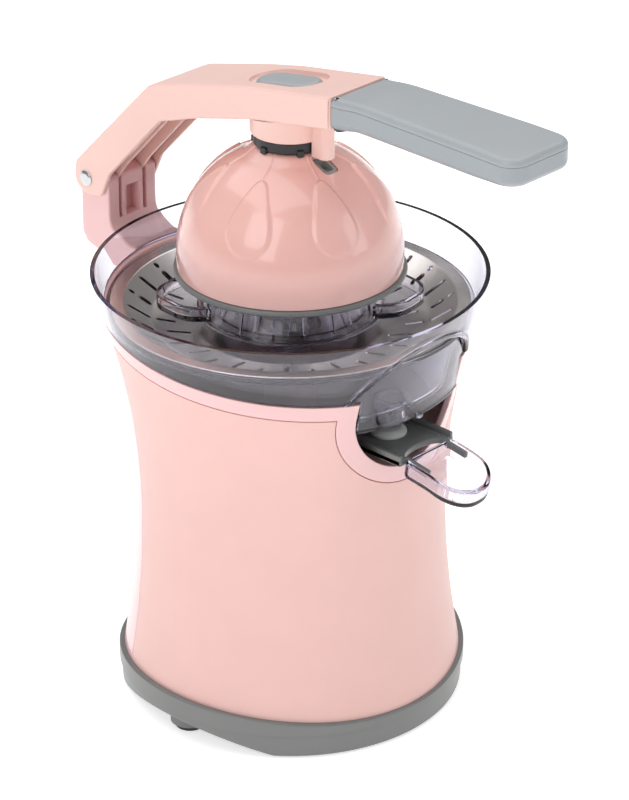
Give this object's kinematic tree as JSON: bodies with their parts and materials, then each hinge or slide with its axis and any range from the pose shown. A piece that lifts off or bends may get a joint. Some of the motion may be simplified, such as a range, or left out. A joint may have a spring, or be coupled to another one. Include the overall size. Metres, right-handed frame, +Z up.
{
  "type": "citrus press juicer",
  "caption": "Electric citrus press with a hinged lever arm, press dome, clear juice bowl over a steel strainer, and a drip-stop spout lever on a waisted body",
  "frame": {"origin": "on the vertical spindle axis, at the level of the surface that the feet stand on", "axes": "+Z up, -Y towards the spout and handle, +Y towards the hinge tower, +X to the right of someone facing the rear"},
  "size_m": [0.19, 0.2841, 0.3262],
  "materials": {
    "pink_gloss": "moulded housing plastic, satin gloss",
    "pink_satin": "wrap panel with a soft satin coat",
    "pink_arm": "moulded arm plastic, semi gloss",
    "pink_dome": "high gloss moulded dome",
    "grey_satin": "mid grey moulded plastic, fine satin grain",
    "grey_inner": "grey moulded plastic",
    "grip_shell": "grey moulded plastic, satin",
    "grip_pad": "soft-touch grey elastomer",
    "clear_plastic": "clear moulded plastic, polished",
    "steel_sheet": "stamped stainless steel sheet, polished rim",
    "steel": "bright turned steel",
    "black_plastic": "black moulded plastic",
    "black_rubber": "black rubber",
    "silicone": "translucent white silicone rubber",
    "stack_steel": "laminated electrical steel",
    "copper": "enamelled copper winding",
    "bracket_alloy": "die-cast alloy",
    "bronze": "sintered bronze",
    "white_plastic": "natural acetal"
  },
  "bodies": {
    "housing": {"housing_shell": "pink_gloss", "front_wrap_panel": "pink_satin", "hinge_tower": "pink_gloss", "chassis_deck": "black_plastic", "base_ring": "grey_satin", "bottom_plate": "grey_inner", "rubber_feet": "black_rubber", "base_screws": "steel", "cord_gland": "black_rubber", "terminal_block": "white_plastic", "motor_stator": "stack_steel", "motor_coils": "copper", "motor_top_bracket": "bracket_alloy", "motor_bottom_bracket": "bracket_alloy", "motor_bushes": "bronze", "motor_screws": "steel", "gearbox_case": "white_plastic", "gearbox_cover": "white_plastic", "gearbox_screws": "steel", "idler_pin": "steel", "spindle_bush": "bronze", "spindle_seal": "black_rubber", "plunger_spring": "steel", "micro_switch": "black_plastic", "collector_bowl": "clear_plastic", "strainer_dish": "steel_sheet", "lever_pin": "steel", "hinge_pin": "steel"},
    "rotor": {"rotor_core": "stack_steel", "motor_shaft": "steel", "motor_pinion": "bronze", "cooling_fan": "black_plastic"},
    "idler": {"idler_gear": "white_plastic"},
    "output": {"output_gear": "white_plastic"},
    "spindle": {"drive_shaft": "steel", "reamer_cone": "clear_plastic", "reamer_wings": "clear_plastic"},
    "plunger": {"switch_plunger": "white_plastic"},
    "lever": {"drip_lever": "grey_satin", "drip_tongue": "clear_plastic", "drip_seal": "silicone"},
    "arm": {"arm_shell": "pink_arm", "handle_shell": "grip_shell", "handle_pad": "grip_pad", "handle_screws": "steel", "press_boss": "pink_gloss", "button_spring": "steel", "dome_collar": "black_plastic", "dome_shell": "pink_dome", "dome_ring": "grey_satin", "dome_notch": "grey_satin"},
    "button": {"release_button": "grey_satin"}
  },
  "joints": [
    {"name": "arm_hinge", "type": "hinge", "parent": "housing", "child": "arm", "pos_m": [0, 0.1205, 0.2375], "axis": [-1, 0, 0], "range_deg": [0, 70]},
    {"name": "button_press", "type": "slide", "parent": "arm", "child": "button", "axis": [0, 0, -1], "range_m": [0, 0.003], "stiffness_N_per_m": 400, "springref_m": -0.003, "deforming": ["button_spring"]},
    {"name": "drip_lever_hinge", "type": "hinge", "parent": "housing", "child": "lever", "pos_m": [0, -0.046, 0.153], "axis": [-1, 0, 0], "range_deg": [0, 6.5]},
    {"name": "rotor_spin", "type": "hinge", "parent": "housing", "child": "rotor", "pos_m": [0.01121, 0.01543, 0.1], "axis": [0, 0, 1], "continuous": true},
    {"name": "idler_spin", "type": "hinge", "parent": "housing", "child": "idler", "pos_m": [0.0296, 0, 0.12], "axis": [0, 0, 1], "continuous": true},
    {"name": "output_spin", "type": "hinge", "parent": "housing", "child": "output", "pos_m": [0, 0, 0.13], "axis": [0, 0, 1], "continuous": true},
    {"name": "spindle_press", "type": "slide", "parent": "output", "child": "spindle", "axis": [0, 0, -1], "range_m": [0, 0.0025], "stiffness_N_per_m": 600, "springref_m": -0.004},
    {"name": "plunger_press", "type": "slide", "parent": "housing", "child": "plunger", "axis": [0, 0, -1], "range_m": [0, 0.0025], "deforming": ["plunger_spring"]}
  ],
  "couplings": [
    {"joint": "idler_spin", "follows": "rotor_spin", "ratio": -0.25},
    {"joint": "output_spin", "follows": "rotor_spin", "ratio": 0.058333},
    {"joint": "plunger_press", "follows": "spindle_press", "ratio": 1}
  ]
}
